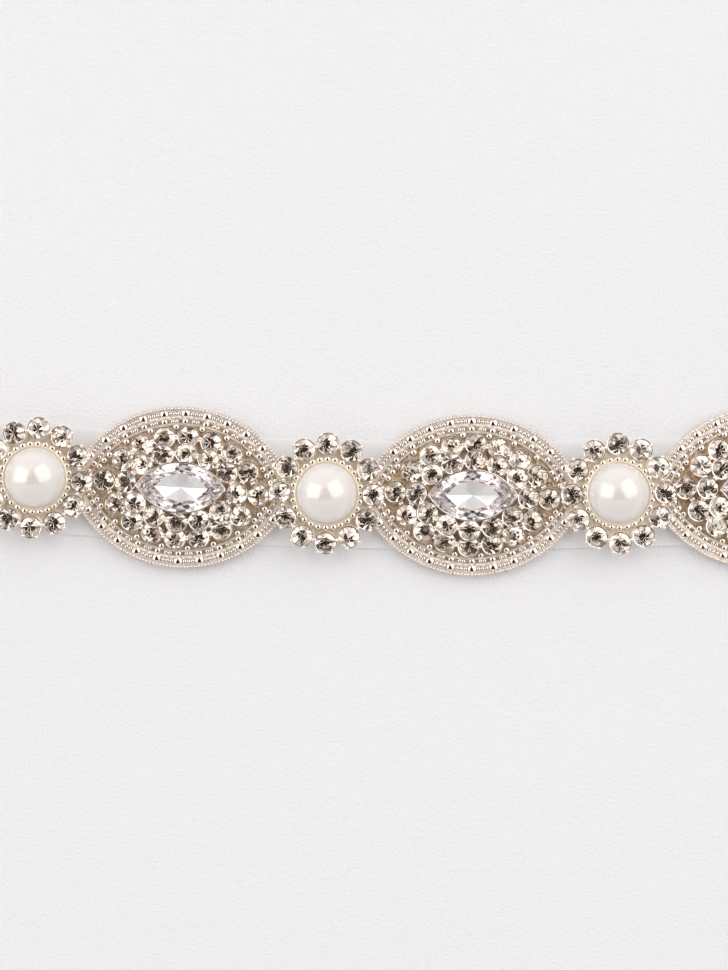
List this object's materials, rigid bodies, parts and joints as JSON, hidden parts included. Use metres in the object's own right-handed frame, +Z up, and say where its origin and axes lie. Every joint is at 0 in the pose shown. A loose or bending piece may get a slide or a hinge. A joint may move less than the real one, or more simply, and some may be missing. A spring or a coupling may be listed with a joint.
{
  "type": "ribbon headband",
  "caption": "Satin ribbon headband with a sewn-on row of cast flowers and marquise plates, set with half pearls and faceted paste stones.",
  "frame": {"origin": "under the middle marquise, on the underside of its ribbon", "axes": "+X along the band to the right, +Y across the band, +Z up from the surface the band lies on, towards the stones"},
  "size_m": [0.2848, 0.0318, 0.0179],
  "materials": {
    "cast_metal": "bright pale champagne silver plate",
    "pearl": "off-white nacre lacquer with a soft pink overtone",
    "paste_stone": "faceted, foil-backed",
    "crystal": "faceted, foil-backed",
    "satin": "white satin weave, soft sheen",
    "thread": "twisted white sewing thread"
  },
  "bodies": {
    "marquise_1": {"marquise_1_setting": "cast_metal", "marquise_1_crystal": "crystal", "marquise_1_stones": "paste_stone", "marquise_1_ribbon": "satin", "marquise_1_stitches": "thread"},
    "marquise_2": {"marquise_2_setting": "cast_metal", "marquise_2_crystal": "crystal", "marquise_2_stones": "paste_stone", "marquise_2_ribbon": "satin", "marquise_2_stitches": "thread"},
    "marquise_3": {"marquise_3_setting": "cast_metal", "marquise_3_crystal": "crystal", "marquise_3_stones": "paste_stone", "marquise_3_ribbon": "satin", "marquise_3_stitches": "thread"},
    "marquise_4": {"marquise_4_setting": "cast_metal", "marquise_4_crystal": "crystal", "marquise_4_stones": "paste_stone", "marquise_4_ribbon": "satin", "marquise_4_stitches": "thread"},
    "marquise_5": {"marquise_5_setting": "cast_metal", "marquise_5_crystal": "crystal", "marquise_5_stones": "paste_stone", "marquise_5_ribbon": "satin", "marquise_5_stitches": "thread"},
    "flower_1": {"flower_1_setting": "cast_metal", "flower_1_pearl": "pearl", "flower_1_stones": "paste_stone", "flower_1_ribbon": "satin", "flower_1_stitches": "thread"},
    "flower_2": {"flower_2_setting": "cast_metal", "flower_2_pearl": "pearl", "flower_2_stones": "paste_stone", "flower_2_ribbon": "satin", "flower_2_stitches": "thread"},
    "flower_3": {"flower_3_setting": "cast_metal", "flower_3_pearl": "pearl", "flower_3_stones": "paste_stone", "flower_3_ribbon": "satin", "flower_3_stitches": "thread"},
    "flower_4": {"flower_4_setting": "cast_metal", "flower_4_pearl": "pearl", "flower_4_stones": "paste_stone", "flower_4_ribbon": "satin", "flower_4_stitches": "thread"},
    "flower_5": {"flower_5_setting": "cast_metal", "flower_5_pearl": "pearl", "flower_5_stones": "paste_stone", "flower_5_ribbon": "satin", "flower_5_stitches": "thread"},
    "flower_6": {"flower_6_setting": "cast_metal", "flower_6_pearl": "pearl", "flower_6_stones": "paste_stone", "flower_6_ribbon": "satin", "flower_6_stitches": "thread"},
    "left_tie": {"left_tie": "satin"},
    "right_tie": {"right_tie": "satin"}
  },
  "joints": [
    {"name": "right_bend_1", "type": "hinge", "parent": "marquise_3", "child": "flower_4", "pos_m": [0.017, 0, 0.0002], "axis": [0, 1, 0], "range_deg": [0, 20]},
    {"name": "right_bend_2", "type": "hinge", "parent": "flower_4", "child": "marquise_4", "pos_m": [0.026, 0.00024, 0.0002], "axis": [-0.0537, 0.9986, 0], "range_deg": [0, 20]},
    {"name": "right_bend_3", "type": "hinge", "parent": "marquise_4", "child": "flower_5", "pos_m": [0.05995, 0.00207, 0.0002], "axis": [-0.0537, 0.9986, 0], "range_deg": [0, 20]},
    {"name": "right_bend_4", "type": "hinge", "parent": "flower_5", "child": "marquise_5", "pos_m": [0.06893, 0.00279, 0.0002], "axis": [-0.1073, 0.9942, 0], "range_deg": [0, 20]},
    {"name": "right_bend_5", "type": "hinge", "parent": "marquise_5", "child": "flower_6", "pos_m": [0.10274, 0.00644, 0.0002], "axis": [-0.1073, 0.9942, 0], "range_deg": [0, 20]},
    {"name": "left_bend_1", "type": "hinge", "parent": "marquise_3", "child": "flower_3", "pos_m": [-0.017, 0, 0.0002], "axis": [0, -1, 0], "range_deg": [0, 20]},
    {"name": "left_bend_2", "type": "hinge", "parent": "flower_3", "child": "marquise_2", "pos_m": [-0.026, 0.00024, 0.0002], "axis": [-0.0537, -0.9986, 0], "range_deg": [0, 20]},
    {"name": "left_bend_3", "type": "hinge", "parent": "marquise_2", "child": "flower_2", "pos_m": [-0.05995, 0.00207, 0.0002], "axis": [-0.0537, -0.9986, 0], "range_deg": [0, 20]},
    {"name": "left_bend_4", "type": "hinge", "parent": "flower_2", "child": "marquise_1", "pos_m": [-0.06893, 0.00279, 0.0002], "axis": [-0.1073, -0.9942, 0], "range_deg": [0, 20]},
    {"name": "left_bend_5", "type": "hinge", "parent": "marquise_1", "child": "flower_1", "pos_m": [-0.10274, 0.00644, 0.0002], "axis": [-0.1073, -0.9942, 0], "range_deg": [0, 20]},
    {"name": "right_tie_bend", "type": "hinge", "parent": "flower_6", "child": "right_tie", "pos_m": [0.11163, 0.00783, 0.0002], "axis": [-0.1395, 0.9902, 0], "range_deg": [-15, 25]},
    {"name": "left_tie_bend", "type": "hinge", "parent": "flower_1", "child": "left_tie", "pos_m": [-0.11163, 0.00783, 0.0002], "axis": [-0.1395, -0.9902, 0], "range_deg": [-15, 25]}
  ]
}
